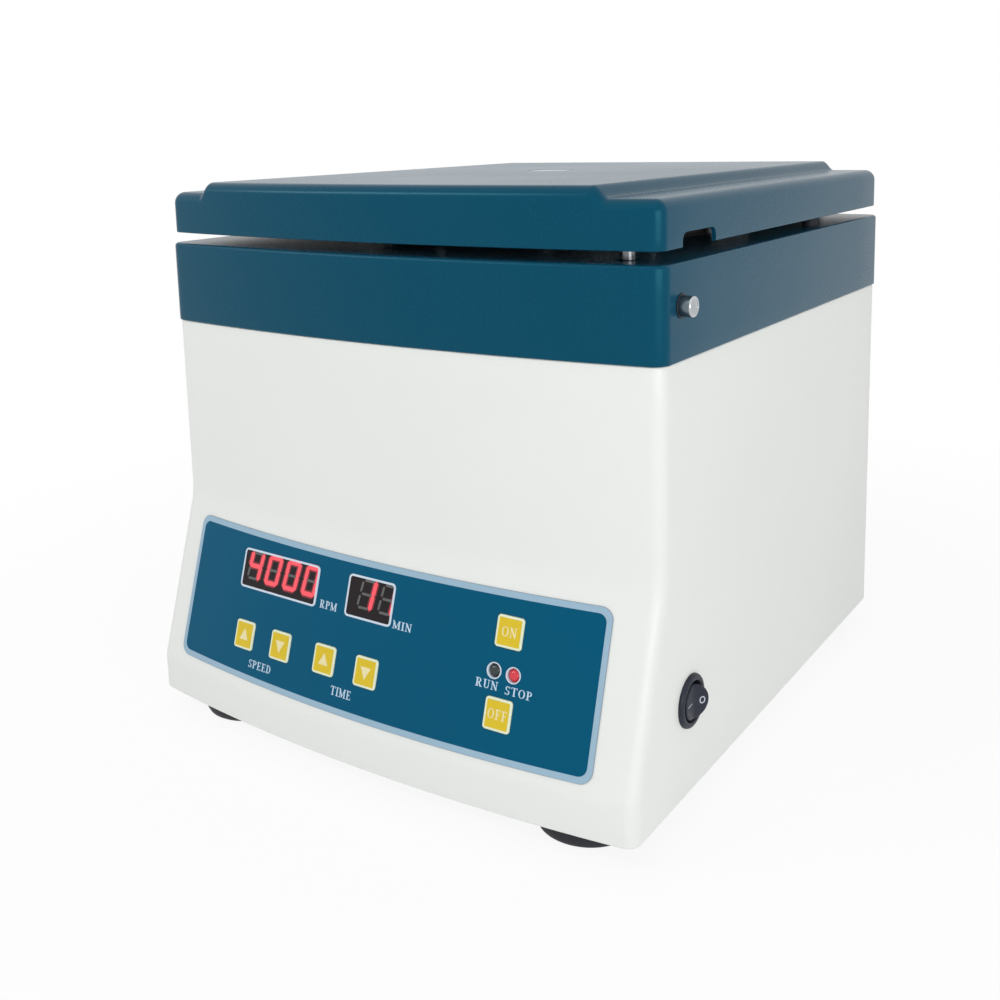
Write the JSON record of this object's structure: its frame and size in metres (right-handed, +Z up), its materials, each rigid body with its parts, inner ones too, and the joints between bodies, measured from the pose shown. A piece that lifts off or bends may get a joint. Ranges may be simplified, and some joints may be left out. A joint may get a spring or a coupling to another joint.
{
  "type": "benchtop centrifuge",
  "caption": "Benchtop low-speed centrifuge: white housing with sloped key panel and displays, teal collar, hinged lid with push-button latch, and an angle rotor in a steel bowl.",
  "frame": {"origin": "on the floor plane under the middle of the whole outline, on the case's middle plane", "axes": "+Z up, front with the control panel towards -Y, power switch and release button on +X"},
  "size_m": [0.2778, 0.313, 0.2681],
  "materials": {
    "white_paint": "fine textured powder coat, warm white",
    "teal_plastic": "moulded, semi-gloss teal",
    "panel_film": "printed film, teal with a light blue border",
    "key_plastic": "yellow keys with a pale rim",
    "black_rubber": "matt black rubber",
    "black_plastic": "moulded black",
    "bright_steel": "brushed",
    "chrome_button": "polished",
    "zinc_plate": "zinc-plated sheet",
    "cast_aluminium": "turned",
    "sleeve_metal": "anodised",
    "brass": "plain",
    "winding": "lacquered copper winding and laminations",
    "board": "circuit board",
    "window": "clear window with a pale frame",
    "display": "LED module with red digits",
    "red_lens": "red lens",
    "sight_glass": "clear sight window"
  },
  "bodies": {
    "case": {"housing": "white_paint", "collar": "teal_plastic", "control_overlay": "panel_film", "foot_front_left": "black_rubber", "foot_front_right": "black_rubber", "foot_rear_left": "black_rubber", "foot_rear_right": "black_rubber", "chamber_gasket": "black_rubber", "shaft_grommet": "black_rubber", "motor_dampers": "black_rubber", "lid_buffers": "black_rubber", "switch_body": "black_plastic", "power_inlet": "black_plastic", "button_bush": "black_plastic", "latch_guide": "black_plastic", "chassis_screws": "bright_steel", "chamber_bowl": "bright_steel", "bowl_screws": "bright_steel", "motor_bearings": "bright_steel", "motor_screws": "bright_steel", "latch_spring": "bright_steel", "case_hinge_leaves": "bright_steel", "hinge_pins": "bright_steel", "case_hinge_screws": "bright_steel", "base_plate": "zinc_plate", "motor_can": "zinc_plate", "motor_plate": "zinc_plate", "motor_top_cap": "cast_aluminium", "motor_base_cap": "cast_aluminium", "inlet_pins": "brass", "stator": "winding", "transformer": "winding", "control_board": "board", "power_board": "board", "speed_window": "window", "timer_window": "window", "speed_display": "display", "timer_display": "display", "run_lamp": "red_lens", "stop_lamp": "red_lens"},
    "lid": {"lid_shell": "teal_plastic", "lid_liner": "bright_steel", "liner_screws": "bright_steel", "sight_window": "sight_glass", "latch_striker": "bright_steel", "lid_hinge_leaves": "bright_steel", "lid_hinge_screws": "bright_steel"},
    "rotor": {"rotor_head": "cast_aluminium", "tube_sleeves": "sleeve_metal", "rotor_nut": "bright_steel", "motor_shaft": "bright_steel", "armature": "winding"},
    "rocker": {"power_rocker": "black_plastic"},
    "latch": {"release_button": "chrome_button"},
    "speed_up_button": {"speed_up_key": "key_plastic"},
    "speed_down_button": {"speed_down_key": "key_plastic"},
    "time_up_button": {"time_up_key": "key_plastic"},
    "time_down_button": {"time_down_key": "key_plastic"},
    "start_button": {"start_key": "key_plastic"},
    "stop_button": {"stop_key": "key_plastic"}
  },
  "joints": [
    {"name": "lid_hinge", "type": "hinge", "parent": "case", "child": "lid", "pos_m": [0, 0.15312, 0.24065], "axis": [-1, 0, 0], "range_deg": [0, 100]},
    {"name": "rotor_spin", "type": "hinge", "parent": "case", "child": "rotor", "pos_m": [0, 0.01942, 0.1401], "axis": [0, 0, 1], "continuous": true},
    {"name": "power_switch", "type": "hinge", "parent": "case", "child": "rocker", "pos_m": [0.1327, -0.09708, 0.0535], "axis": [0, 0, 1], "range_deg": [0, 16]},
    {"name": "lid_release", "type": "slide", "parent": "case", "child": "latch", "axis": [-1, 0, 0], "range_m": [0, 0.0045], "stiffness_N_per_m": 400, "deforming": ["latch_spring"]},
    {"name": "speed_up_press", "type": "slide", "parent": "case", "child": "speed_up_button", "axis": [0.0756, 0.952, -0.2965], "range_m": [0, 0.0006], "stiffness_N_per_m": 2000},
    {"name": "speed_down_press", "type": "slide", "parent": "case", "child": "speed_down_button", "axis": [0.0503, 0.9536, -0.297], "range_m": [0, 0.0006], "stiffness_N_per_m": 2000},
    {"name": "time_up_press", "type": "slide", "parent": "case", "child": "time_up_button", "axis": [0.0213, 0.9545, -0.2973], "range_m": [0, 0.0006], "stiffness_N_per_m": 2000},
    {"name": "time_down_press", "type": "slide", "parent": "case", "child": "time_down_button", "axis": [-0.0039, 0.9548, -0.2974], "range_m": [0, 0.0006], "stiffness_N_per_m": 2000},
    {"name": "start_press", "type": "slide", "parent": "case", "child": "start_button", "axis": [-0.0745, 0.9521, -0.2965], "range_m": [0, 0.0006], "stiffness_N_per_m": 2000},
    {"name": "stop_press", "type": "slide", "parent": "case", "child": "stop_button", "axis": [-0.0742, 0.9521, -0.2966], "range_m": [0, 0.0006], "stiffness_N_per_m": 2000}
  ]
}
